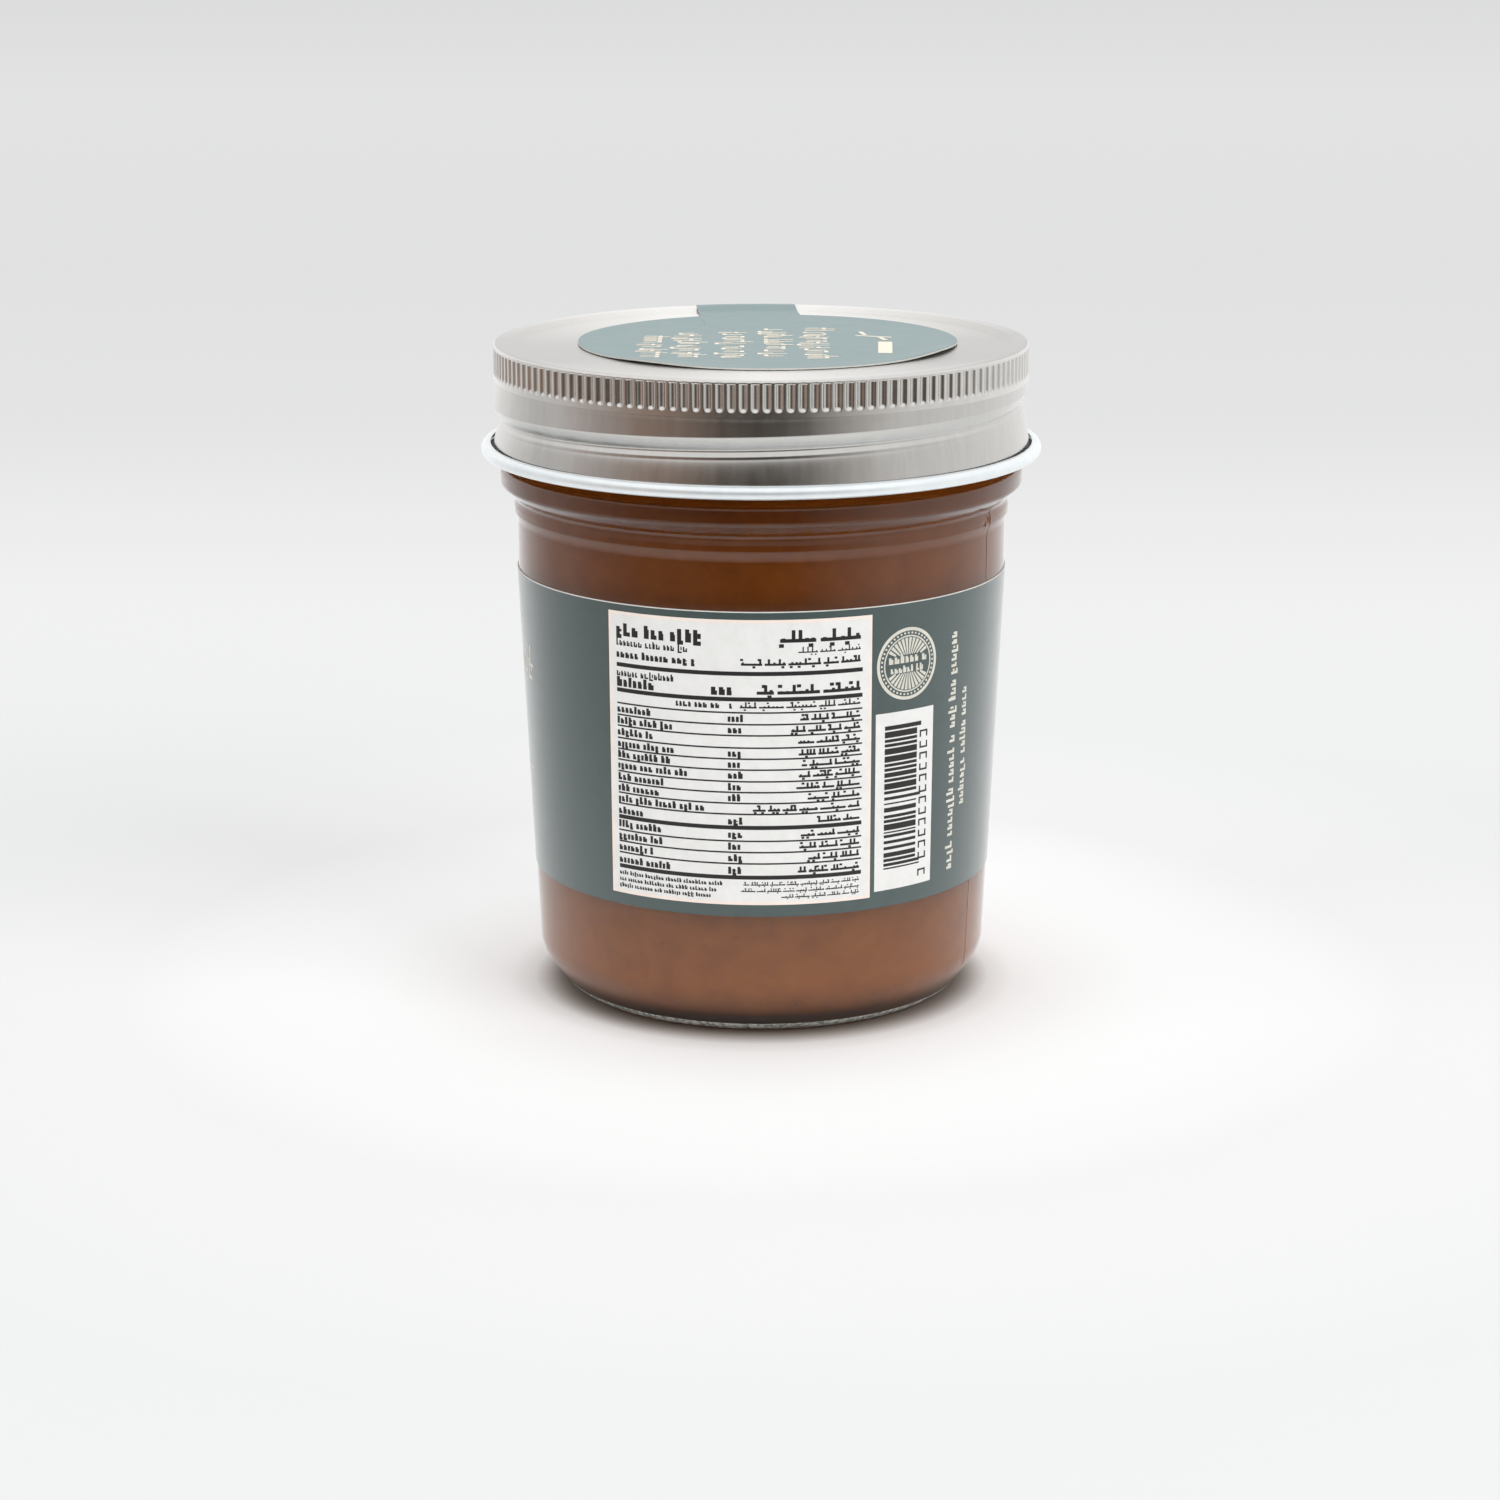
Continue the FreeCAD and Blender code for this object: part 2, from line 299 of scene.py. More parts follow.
white_lacquer = Mat("white_lacquer").set(Roughness=0.2, Metallic=0.5)
white_lacquer.p.inputs["Coat Weight"].default_value = 0.5
wn = white_lacquer.noise(500, 3)
white_lacquer.colour(white_lacquer.ramp(wn, (0.3, lin((232, 238, 241))), (0.7, lin((240, 245, 247)))))
white_lacquer.bump(wn, 0.1, 0.00004)


def printed(name, dark, light, rough=0.42, ior=1.9, sheen=0.0):
    """Ink on smooth uncoated paper: faint mottle and fibre."""
    p = Mat(name).set(Roughness=rough, IOR=ior, Sheen_Weight=sheen, Sheen_Roughness=0.35)
    mottle = p.noise(420, 5, 0.7)
    p.colour(p.ramp(mottle, (0.3, lin(dark)), (0.7, lin(light))))
    fibre = p.noise(1.0, 4, 0.6, p.scaled((2600, 2600, 5200)))
    p.bump(fibre, 0.25, 0.00003)
    p.link(p.span(mottle, 0.3, 0.7, rough - 0.04, rough + 0.05), p.p.inputs["Roughness"])
    return p


teal = printed("paper_teal", (43, 63, 62), (50, 71, 70), 0.32, 1.85, 1.0)
# painted sheen: the seal is the label's paper, given a paler teal that stands in for its sheen at a grazing
# angle
seal_teal_painted_sheen = printed("paper_seal", (84, 111, 112), (93, 121, 122), 0.36, 2.05)
paper_edge = printed("paper_cut_edge", (206, 204, 198), (226, 224, 219), 0.7, 1.5)
panel_white = printed("print_panel_white", (226, 225, 222), (236, 235, 233), 0.42, 1.6)
panel_border = printed("print_border", (240, 224, 214), (247, 233, 224), 0.42, 1.5)
ink = printed("print_ink", (26, 24, 24), (36, 33, 33), 0.45, 1.5)
cream = printed("print_cream", (206, 203, 190), (222, 219, 208), 0.42, 1.6)
seal_cream = printed("print_seal_cream", (216, 206, 188), (230, 220, 202), 0.4, 1.5)


# ---------------------------------------------------------------- glass
WALL_0, TAPER, WALL = 30.743, 0.0444, 3.0  # outer radius at the foot, its growth per mm of height, thickness
BEAD_R = GLASS_HI.x                        # transfer bead under the lid
FINISH_R, MOUTH_R = 33.1, 30.5             # hidden top of the glass, outside and inside


def wall(z):
    """Outer radius of the tapered wall."""
    return WALL_0 + TAPER * (z - FOOT)


# (radius, height, round) from the axis outwards and up
INNER = [
    (0.02, FOOT + 4.7, 0),
    (wall(FOOT + 3.3) - WALL, FOOT + 3.3, 5.0),
    (wall(FOOT + 59.8) - WALL, FOOT + 59.8, 20.0),
]
OUTER = [
    (0.02, FOOT + 1.6, 0),
    (18.6, FOOT + 1.35, 12.0),
    (23.6, FOOT, 1.0),
    (26.9, FOOT, 4.0),
    (wall(FOOT + 5.2), FOOT + 5.2, 6.0),
    (wall(FOOT + 59.8), FOOT + 59.8, 20.0),
    (33.43, FOOT + 66.1, 2.0),
    (33.88, FOOT + 67.2, 0.5),
    (33.88, FOOT + 68.0, 0.5),
    (33.62, FOOT + 68.8, 0.5),
    (33.82, FOOT + 69.25, 0.3),
    (BEAD_R, FOOT + 71.0, 0.9),
    (BEAD_R, FOOT + 73.4, 0.8),
    (FINISH_R, FOOT + 73.8, 0.5),
    (FINISH_R, MOUTH, 1.0),
    (MOUTH_R, MOUTH, 1.2),
    (MOUTH_R, BUTTER_HI.z, 0),
]
SEAM = math.radians(64.5)
SEAMS = (SEAM, SEAM - math.pi)
SEAM_HIGH, SEAM_HALF = 0.07, 0.13
NECK_RING = FOOT + 67.6
# finer steps at both seams and at the ragged stretch left of the visible one
fine = [s + np.linspace(-0.016, 0.016, 17) for s in SEAMS] + [SEAM + np.linspace(-0.10, 0.03, 66)]
phis = np.unique(np.round(np.concatenate([full_turn(288)] + fine), 6))
prof = rounded(OUTER + INNER[::-1])
R, Z = spread(prof, phis)
outside = (np.arange(prof.shape[0]) < np.argmax(prof[:, 1] > MOUTH - 1.0)) & (prof[:, 1] > FOOT + 5)
for s in SEAMS:
    # above the neck ring the mould is another pair, set a little aside
    shift = np.where(Z > NECK_RING, 0.006, 0.0)
    off = (phis[:, None] - s - shift) * R
    R = R + outside[None, :] * SEAM_HIGH * np.exp(-((off / SEAM_HALF) ** 2)) * (R < BEAD_R - 0.1)
mid_z = (prof[1:, 1] + prof[:-1, 1]) / 2 - FOOT
# faces of the heel's painted highlight band, 0.4 to 1.45 mm up
heel_highlight_band = (mid_z > 0.4) & (mid_z < 1.45) & (prof[1:, 0] > 26.0)
index = np.tile(heel_highlight_band.astype(int), len(phis)).tolist()
# where the mould's halves miss each other a little, under the neck ring
off = (phis[:, None] - SEAM) * R
ragged = FOOT + 68.05 + 0.32 * off + 0.12 * np.sin(off * 5.0) + 0.06 * np.sin(off * 13.0)
notch = np.exp(-(((Z - ragged) / 0.17) ** 2)) * np.exp(-(((off + 1.1) / 1.15) ** 4))
NOTCH_DEPTH = 0.34
R = R - outside[None, :] * NOTCH_DEPTH * notch
jar = lathe("glass_jar", R, Z, phis, [glass.m, stipple_highlight.m], index)
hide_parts("jar_glass")
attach(jar, "root")

# ---------------------------------------------------------------- butter, with no air between it and the wall
SINK = 0.06  # how far the butter's skin lies inside the glass
fill = [(r + (SINK if i else 0), z - (SINK if i < 2 else 0), f) for i, (r, z, f) in enumerate(INNER)]
fill += [(30.56, BUTTER_HI.z - 1.0, 0.6), (30.2, BUTTER_HI.z, 0.4), (0.02, BUTTER_HI.z, 0)]
phis = full_turn(240)
nut = lathe("butter_fill", *spread(rounded(fill), phis), phis, [butter.m])
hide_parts("almond_butter")
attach(nut, "root")

# ---------------------------------------------------------------- lid
KNURL_R, KNURL_LOW = 36.35, RIM - 4.3
ROUND = 0.55                # between the rim and the knurl
PANEL = RIM - 0.6
BAND_TOP = KNURL_LOW - 0.55
SKIRT_LOW = HEM + 1.66
SHEET_T = 0.3
FLUTES = 150
FLUTE_HALF, FLUTE_DEPTH = 0.52, 0.34

# panel and rim
prof = rounded([(0.02, PANEL, 0), (33.4, PANEL, 0.5), (34.2, RIM, 0.7), (KNURL_R - ROUND, RIM, 0)])
inner_pts = np.stack([np.linspace(0.02, 33.0, 24)[1:-1], np.full(22, PANEL)], 1)
bend = np.radians(np.linspace(82.0, 54.0, 6))
crest = np.stack([KNURL_R - ROUND + ROUND * np.cos(bend), RIM - ROUND + ROUND * np.sin(bend)], 1)
prof = np.vstack([prof[:1], inner_pts, prof[1:], crest])[::-1]
phis = full_turn(360)
top = lathe("lid_panel", *spread(prof, phis), phis, [steel_top.m])

# knurled band: hip-ended flutes pressed in from outside
phis = full_turn(FLUTES * 12)
zz = np.concatenate([
    [BAND_TOP, KNURL_LOW - 0.3, KNURL_LOW - 0.1],
    KNURL_LOW + np.array([0.02, 0.12, 0.22, 0.34, 0.48, 0.66, 0.9]),
    np.linspace(KNURL_LOW + 1.3, RIM - 1.0, 4),
    [RIM - 0.9, RIM - 0.84], np.linspace(RIM - 0.79, RIM - 0.5, 9),
    RIM - ROUND + ROUND * np.sin(np.radians(np.linspace(18.0, 54.0, 6)))])
ph, z2 = np.meshgrid(phis, zz, indexing="ij")
u = (((ph * FLUTES / (2 * math.pi)) % 1.0) - 0.5) * 2 * math.pi * KNURL_R / FLUTES
ends = smooth01((z2 - KNURL_LOW - 0.02) / 0.62) * smooth01((RIM - 0.44 - z2) / 0.22)
half = FLUTE_HALF * (0.74 + 0.26 * ends)
cut = np.clip(1 - np.abs(u) / half, 0, 1)
depth = np.minimum(0.36 * ends * (cut ** 0.85) * (1.6 - 0.6 * cut), FLUTE_DEPTH)
rise = np.clip((z2 - RIM + ROUND) / ROUND, 0, 1)
crest_r = KNURL_R - ROUND + ROUND * np.sqrt(1 - rise ** 2)
R = np.minimum(KNURL_R - depth, crest_r)
knurl = lathe("lid_knurl", R, z2, phis, [steel_knurl_painted_light.m])

# skirt with the rolled, helical thread groove
GROOVE_FRONT, PITCH = RIM - 9.25, 5.08
GROOVE_R = 35.38                        # at the groove's root
FLANK_TOP, STEP = 1.95, 0.65            # the long flank's top above the root, the short one's foot below it
FOOT_R, FOOT_FLARE = 35.79, 0.73        # drawn-in skirt below the groove
HALF_TURN, RUN_OUT = 3.351, 0.42        # radians from the front to where the groove ends, and its fade
# heights and weights over which the sheet's bends are eased
TAPS = ((-0.14, 0.15), (-0.07, 0.22), (0, 0.26), (0.07, 0.22), (0.14, 0.15))


def plain_skirt(z):
    """Radius of the skirt as it would be without the groove: drawn in, flared, then drawn in again."""
    t = np.clip((BAND_TOP - z) / 3.6, 0, 1)
    r = KNURL_R + (0.42 * t - 0.15) * smooth01((BAND_TOP - z) / 1.4)
    low = smooth01((SKIRT_LOW + 4.0 - z) / 4.0)
    return r - 0.10 * low


def groove_depth(z, phi):
    """How far the rolled groove, and the drawn-in skirt under it, lie inside the plain skirt."""
    zg = GROOVE_FRONT + PITCH * phi / (2 * math.pi)
    d = z - zg
    plain = plain_skirt(z)
    up = plain_skirt(zg + FLANK_TOP)
    flank = GROOVE_R + (up - GROOVE_R) * np.clip((d - 0.1) / 1.85, 0, 1)
    under = GROOVE_R + 0.40 * np.clip(-(d + 0.1) / 0.55, 0, 1)
    down = np.clip((zg - 1.0 - z) / np.maximum(zg - 1.0 - SKIRT_LOW, 0.5), 0, 1)
    foot = FOOT_R + FOOT_FLARE * down ** 0.74
    r = np.where(d > 0, flank, np.where(d > -STEP, under, foot))
    r = np.where(d > FLANK_TOP, plain, r)
    fade = smooth01((HALF_TURN - np.abs(phi)) / RUN_OUT)
    return np.maximum(plain - r, 0) * fade


def skirt_r(phi, z):
    total = 0
    for dz, w in TAPS:
        best = 0
        for turn in (-2 * math.pi, 0, 2 * math.pi):
            best = np.maximum(best, groove_depth(z + dz, phi + turn))
        total = total + w * best
    return plain_skirt(z) - total


phis = full_turn(600)
zz = np.linspace(SKIRT_LOW, BAND_TOP, 128)
ph, z2 = np.meshgrid(phis, zz, indexing="ij")
R_skirt = skirt_r(ph, z2)
skirt = lathe("lid_skirt", R_skirt, z2, phis, [steel_side.m])

# white-lacquered inside of the skirt
inner = lathe("lid_inside", (R_skirt - SHEET_T)[:, ::-1], z2[:, ::-1], phis, [white_lacquer.m])

# curl: the sheet rolled outwards, its white inner face outside
CURL_T, CURL_IN = 0.92, 0.56  # the tube's radius, outside and inside
CURL_R, CURL_Z = CURL_OUT - CURL_T, HEM + CURL_T
ang = np.radians(np.linspace(180.0, 180.0 + 292.0, 64))
arc = np.stack([CURL_R + CURL_T * np.cos(ang), CURL_Z + CURL_T * np.sin(ang)], 1)
tuck = np.radians(112.0)
lip = np.array([[CURL_R + r * math.cos(tuck), CURL_Z + r * math.sin(tuck)] for r in (0.80, 0.66, CURL_IN)])
ang = np.radians(np.linspace(108.0, 20.0, 10))
tail = np.stack([CURL_R + CURL_IN * np.cos(ang), CURL_Z + CURL_IN * np.sin(ang)], 1)
head = np.array([[CURL_R - CURL_T - 0.10, SKIRT_LOW + 0.1], [CURL_R - CURL_T - 0.02, SKIRT_LOW - 0.4]])
prof = np.vstack([head, arc, lip, tail])
phis = full_turn(480)
curl = lathe("lid_curl", *spread(prof, phis), phis, [white_lacquer.m])
# bare steel of the skirt where it runs down behind the curl
prof = np.array([[CURL_R - 0.62, CURL_Z + 0.1], [CURL_R - 0.68, SKIRT_LOW - 0.35], [36.44, SKIRT_LOW]])
hem = lathe("lid_hem", *spread(prof, phis), phis, [steel_side.m])

for piece in (top, knurl, skirt, inner, curl, hem):
    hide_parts("lid")
    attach(piece, "root")

# ---------------------------------------------------------------- body label
LAB_LO, LAB_HI = LABEL_LO.z, LABEL_HI.z
LAB_T = 0.15
CUT_EDGE = 0.13  # pale cut edge that shows along the top


def paper_r(z):
    return wall(z) + LAB_T


heights = list(np.linspace(LAB_LO, LAB_HI, 12)[:-1]) + [LAB_HI - CUT_EDGE, LAB_HI]
prof = np.array([[wall(LAB_LO) + 0.01, LAB_LO]] + [[paper_r(z), z] for z in heights]
                + [[wall(LAB_HI) + 0.01, LAB_HI]])
phis = full_turn(360)
m = len(prof)
index = [1 if j in (0, m - 3, m - 2) else 0 for _ in phis for j in range(m - 1)]
label = lathe("label_paper", *spread(prof, phis), phis, [teal.m, paper_edge.m], index)
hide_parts("body_label")
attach(label, "root")


LAYOUT_RISE = 0.6  # the printed layout's zero above the foot


class Print:
    """Flat marks on the label, placed by arc length s from the front and height z in the layout."""

    def __init__(self, name, mat, lift):
        self.name, self.mat, self.lift = name, mat, lift
        self.v, self.f = [], []

    def at(self, s, z):
        z = z + LAYOUT_RISE
        r = paper_r(z) + self.lift
        a = s / paper_r(z)
        return (r * math.sin(a), -r * math.cos(a), z)

    def rect(self, s0, s1, z0, z1):
        """A rectangle, cut into pieces that follow the curve."""
        ns = max(1, int(math.ceil((s1 - s0) / 1.2)))
        nz = max(1, int(math.ceil((z1 - z0) / 8.0)))
        k = len(self.v)
        for i in range(ns + 1):
            for j in range(nz + 1):
                self.v.append(self.at(s0 + (s1 - s0) * i / ns, z0 + (z1 - z0) * j / nz))
        for i in range(ns):
            for j in range(nz):
                a = k + i * (nz + 1) + j
                self.f.append((a, a + nz + 1, a + nz + 2, a + 1))

    def poly(self, pts):
        k = len(self.v)
        self.v += [self.at(s, z) for s, z in pts]
        self.f.append(tuple(range(k, k + len(pts))))

    def ring(self, s, z, r0, r1, n=64):
        step = 2 * math.pi / n
        for i in range(n):
            self.poly([(s + r * math.cos(step * k), z + r * math.sin(step * k))
                       for r, k in ((r0, i), (r1, i), (r1, i + 1), (r0, i + 1))])

    def done(self):
        ob = add_mesh(self.name, self.v, self.f, [self.mat.m])
        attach(ob, "root")
        return ob


def blocks(pen, s0, s1, z, size, weight=1.0):
    """A row of plain word-like blocks between s0 and s1."""
    s = s0
    while s < s1 - size * 0.3:
        for _ in range(int(rng.integers(3, 9))):
            w = size * rng.uniform(0.34, 0.62)
            if s + w > s1:
                break
            h = size * (1.0 if rng.random() < 0.3 else 0.72)
            drop = size * (0.2 if rng.random() < 0.1 else 0.0)
            bar = size * 0.26 * weight
            # a block with a notch, so that it never reads as a letter
            pen.rect(s, s + w, z - drop, z - drop + bar)
            pen.rect(s, s + bar, z - drop + bar, z + h)
            if rng.random() < 0.7:
                pen.rect(s + w - bar * 0.8, s + w, z + bar, z + h * 0.72)
            s += w + size * 0.16
        s += size * 0.38


def strokes(pen, s0, s1, z, size, weight=1.0):
    """A row of joined, low strokes with small marks over and under it."""
    s = s1
    while s > s0 + size * 0.6:
        length = min(size * rng.uniform(1.6, 4.2), s - s0)
        bar = size * 0.2 * weight
        pen.rect(s - length, s, z + size * 0.12, z + size * 0.12 + bar)
        t = s - size * 0.1
        while t > s - length + size * 0.3:
            h = size * rng.choice([0.3, 0.42, 0.85])
            pen.rect(t - bar, t, z + size * 0.12, z + size * 0.12 + h)
            if rng.random() < 0.4:
                side = rng.choice([-0.22, 0.72])
                pen.rect(t - bar * 1.3 - size * 0.1, t - size * 0.1, z + size * side, z + size * side + bar)
            t -= size * rng.uniform(0.4, 0.7)
        s -= length + size * 0.3


# nutrition table
RULE_L, RULE_R = -20.2, 13.6
border = Print("print_panel_edge", panel_border, 0.012)
border.rect(-21.45, 14.95, 18.7, 57.65)
border.done()
sheet = Print("print_panel_field", panel_white, 0.02)
sheet.rect(-21.0, 14.5, 19.15, 57.2)
sheet.rect(15.6, 25.2, 19.4, 44.0)
sheet.done()
dark = Print("print_table_ink", ink, 0.028)
for z in (50.43, 46.97, 29.43, 22.53):
    dark.rect(RULE_L, RULE_R, z - 0.28, z + 0.28)
for z in (45.16, 43.56, 42.05, 40.37, 38.86, 37.37, 35.77, 34.28, 32.78, 31.28, 27.57, 26.01, 24.44):
    dark.rect(RULE_L, RULE_R, z - 0.11, z + 0.11)
rows = [  # height, size, weight, end of the left text, start of the right text
    (54.35, 1.75, 1.25, -7.9, 1.4), (53.05, 0.95, 0.9, -9.4, 4.8), (51.4, 1.05, 1.4, -8.3, -2.8),
    (48.9, 0.95, 0.9, -11.3, None), (47.45, 1.35, 1.4, -14.5, -0.6), (45.65, 1.0, 1.1, None, -2.8),
    (43.9, 1.0, 1.45, -14.4, 5.1), (42.35, 1.0, 1.45, -11.7, 3.9), (40.75, 1.0, 1.45, -14.7, 4.8),
    (39.15, 1.0, 1.45, -10.9, 4.9), (37.65, 1.0, 1.45, -12.1, 5.3), (36.15, 1.0, 1.45, -9.9, 4.9),
    (34.55, 1.0, 1.45, -12.8, 4.6), (33.05, 1.0, 1.45, -13.6, 5.2), (31.55, 1.0, 1.45, -6.9, -1.6),
    (29.85, 1.0, 1.45, -15.5, 7.5), (28.0, 1.0, 1.45, -12.8, 5.2), (26.35, 1.0, 1.45, -13.0, 5.0),
    (24.75, 1.0, 1.45, -14.6, 6.2), (23.0, 1.0, 1.45, -11.9, 4.8), (21.35, 0.6, 1.2, -5.2, -2.4),
    (20.45, 0.6, 1.2, -6.0, -2.7), (19.6, 0.6, 1.2, -6.3, 2.6)]
for k, (z, size, weight, left, right) in enumerate(rows):
    if left is not None:
        blocks(dark, RULE_L, left, z, size, weight)
    if right is not None:
        strokes(dark, right, 13.3, z, size * (1.12 if k in (0, 4) else 1.0), weight)
    if 5 < k < 20 and k not in (8, 14):
        blocks(dark, -4.4, -2.2, z, 1.0, 1.45)
blocks(dark, -6.6, -3.4, 47.5, 1.5, 1.5)
blocks(dark, -11.4, -5.2, 45.7, 0.95, 1.1)
blocks(dark, -4.2, -3.3, 45.7, 0.95, 1.1)

# code panel: random stripes, longer at both ends and in the middle, beside thirteen open brackets
CODE_LOW, CODE_HIGH, UNIT = 22.3, 42.2, 0.21
z = CODE_LOW
while z < CODE_HIGH - UNIT:
    thick = UNIT * rng.choice([1, 1, 2, 2, 3, 4])
    longer = z < 23.0 or z > 41.5 or abs(z - 32.25) < 0.5
    dark.rect(17.0, 23.0 if longer else 22.3, z, min(z + thick, CODE_HIGH))
    z += thick + UNIT * rng.choice([1, 1, 1, 2, 2])
for i in range(13):
    z = 20.5 + (0 if i == 0 else 2.4 + (i - 1) * 1.55)
    dark.rect(22.75, 23.0, z, z + 0.95)
    dark.rect(23.9, 24.15, z, z + 0.95)
    dark.rect(23.0, 23.9, z if i % 2 else z + 0.7, z + 0.25 if i % 2 else z + 0.95)
dark.done()

# round badge, column marks and the fragments at the left edge
pale = Print("print_cream_marks", cream, 0.02)
bs, bz = 20.6, 50.4
pale.ring(bs, bz, 4.48, 4.92)
for i in range(44):
    a = 2 * math.pi * i / 44
    pale.ring(bs + 4.18 * math.cos(a), bz + 4.18 * math.sin(a), 0.0, 0.17, 6)
pale.ring(bs, bz, 3.66, 3.86)
for i in range(34):
    a = 2 * math.pi * i / 34
    y = math.sin(a)
    if abs(y) < 0.38:
        continue
    # rays start above and below the two rows in the middle
    inner_r, d = 1.25 / abs(y), 0.05
    if inner_r < 3.3:
        pale.poly([(bs + r * math.cos(a + e), bz + r * math.sin(a + e))
                   for r, e in ((inner_r, -d), (3.55, -d * 1.3), (3.55, d * 1.3), (inner_r, d))])
blocks(pale, bs - 3.1, bs + 3.2, bz + 0.15, 1.25, 1.2)
blocks(pale, bs - 2.8, bs + 2.9, bz - 1.15, 0.95, 1.2)


class Upward:
    """Turns a row of blocks so that it runs up the label, with its tops to the left."""

    def __init__(self, pen, foot):
        self.pen, self.foot = pen, foot

    def rect(self, a0, a1, b0, b1):
        self.pen.rect(self.foot - b1, self.foot - b0, a0, a1)


blocks(Upward(pale, 29.85), 20.1, 39.0, 0, 1.55, 0.95)
blocks(Upward(pale, 29.85), 40.1, 53.4, 0, 1.55, 0.95)
blocks(Upward(pale, 32.5), 28.8, 45.6, 0, 1.45, 0.95)
for s, z, w, h in ((-41.3, 46.35, 2.0, 0.5), (-41.6, 47.9, 0.5, 2.4), (-43.2, 47.9, 0.5, 2.4),
                   (-46.4, 52.0, 3.2, 0.35), (-44.2, 31.3, 3.0, 0.35), (-44.4, 25.4, 3.0, 0.35)):
    pale.rect(s - w / 2, s + w / 2, z - h / 2, z + h / 2)
blocks(pale, -46.5, -40.6, 44.9, 3.2, 0.7)
pale.done()

# ---------------------------------------------------------------- seal on the lid
SEAL_R, SEAL_X, SEAL_Y, SEAL_T = 25.8, 0.9, 1.5, 0.2
SEAL_Z = PANEL + 0.02
STRIP_W, STRIP_T = 14.2, 0.11
TURN = math.radians(5.5)
# the jar's axis as the turned strip sees it
AXIS_U = -SEAL_X * math.cos(TURN) - SEAL_Y * math.sin(TURN)
AXIS_V = SEAL_X * math.sin(TURN) - SEAL_Y * math.cos(TURN)


def lift(a, rr):
    """Height of the curled-up stretches of the seal's rim, at angle a and radius rr."""
    up = 0.24 * np.exp(-(((a + 0.66) / 0.26) ** 2)) + 0.36 * np.exp(-(((a - 1.12) / 0.3) ** 2))
    up = up + 0.10 * np.exp(-(((a + 1.7) / 0.4) ** 2)) + 0.06
    return up * smooth01((rr / SEAL_R - 0.82) / 0.18) ** 1.5


rr = np.concatenate([np.linspace(0.05, SEAL_R * 0.8, 8), np.linspace(SEAL_R * 0.83, SEAL_R, 12)])
phis = full_turn(288)
ph, r2 = np.meshgrid(phis, rr, indexing="ij")
up = lift(ph, r2)
X = SEAL_X + r2 * np.sin(ph)
Y = SEAL_Y - r2 * np.cos(ph)
top_z = SEAL_Z + SEAL_T + up
low_z = SEAL_Z + up
V = np.concatenate([np.stack([X, Y, top_z], -1), np.stack([X, Y, low_z], -1)[:, ::-1]], axis=1)
n, m = V.shape[:2]
faces = [f[::-1] for f in grid_faces(n, m)]
index = [0 if j < len(rr) - 1 else 1 for _ in range(n) for j in range(m - 1)]
disc = add_mesh("seal_disc", V.reshape(-1, 3), faces, [seal_teal_painted_sheen.m, paper_edge.m], index)

# strip: over the panel, up and over the rim, down the back to the glass
path = rounded([
    (17.0, PANEL + 0.05, 0), (21.5, PANEL + 0.13, 1.0), (26.0, PANEL + 0.16, 1.0), (31.2, PANEL + 0.16, 3.0),
    (34.3, RIM + 0.02, 1.2), (KNURL_R + 0.02, RIM + 0.02, 0.97), (KNURL_R + 0.02, KNURL_LOW - 0.5, 2.0),
    (CURL_OUT + 0.02, CURL_Z + 1.0, 1.2), (CURL_OUT + 0.02, CURL_Z - 0.5, 0.9),
    (BEAD_R + 0.03, FOOT + 72.5, 1.2), (BEAD_R + 0.03, FOOT + 71.0, 1.0), (33.92, FOOT + 68.0, 1.0),
    (33.5, FOOT + 65.6, 1.5), (33.46, FOOT + 61.3, 0)], per=8)
seg = np.r_[0, np.cumsum(np.hypot(*np.diff(path, axis=0).T))]
tt = np.linspace(0, seg[-1], 120)
pr, pz = np.interp(tt, seg, path[:, 0]), np.interp(tt, seg, path[:, 1])
ww = np.linspace(-STRIP_W / 2, STRIP_W / 2, 15)
across, along = len(ww), len(tt)
v = []
for layer in (1, 0):
    for i in range(along):
        a, b = max(i - 1, 0), min(i + 1, along - 1)
        tr, tz = pr[b] - pr[a], pz[b] - pz[a]
        ln = math.hypot(tr, tz)
        nr, nz = -tz / ln, tr / ln
        for w in ww:
            radius = pr[i] + layer * STRIP_T * nr
            height = pz[i] + layer * STRIP_T * nz
            edge = abs(w) / (STRIP_W / 2)
            if pr[i] < 34.0:  # over the panel its edges curl up
                height += 0.28 * max(0.0, edge - 0.6) ** 2 * (1 if w < 0 else 0.4)
            back = math.sqrt(radius * radius - (w - AXIS_U) ** 2) + AXIS_V
            v.append((SEAL_X + w * math.cos(TURN) - back * math.sin(TURN),
                      SEAL_Y + w * math.sin(TURN) + back * math.cos(TURN), height))
faces, index = [], []
under = across * along  # index of the underside's first point
for start in (0, under):
    for i in range(along - 1):
        for j in range(across - 1):
            a = start + i * across + j
            q = (a, a + across, a + across + 1, a + 1)
            faces.append(q if start else q[::-1])
            index.append(1 if start else 0)
for i in range(along - 1):
    for j in (0, across - 1):
        a = i * across + j
        q = (a, a + across, a + across + under, a + under)
        faces.append(q[::-1] if j else q)
        index.append(1)
for a in range((along - 1) * across, under - 1):
    faces.append((a, a + under, a + 1 + under, a + 1))
    index.append(1)
strip = add_mesh("seal_strip", v, faces, [seal_teal_painted_sheen.m, paper_edge.m], index)
for piece in (disc, strip):
    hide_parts("lid_seal")
    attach(piece, "root")


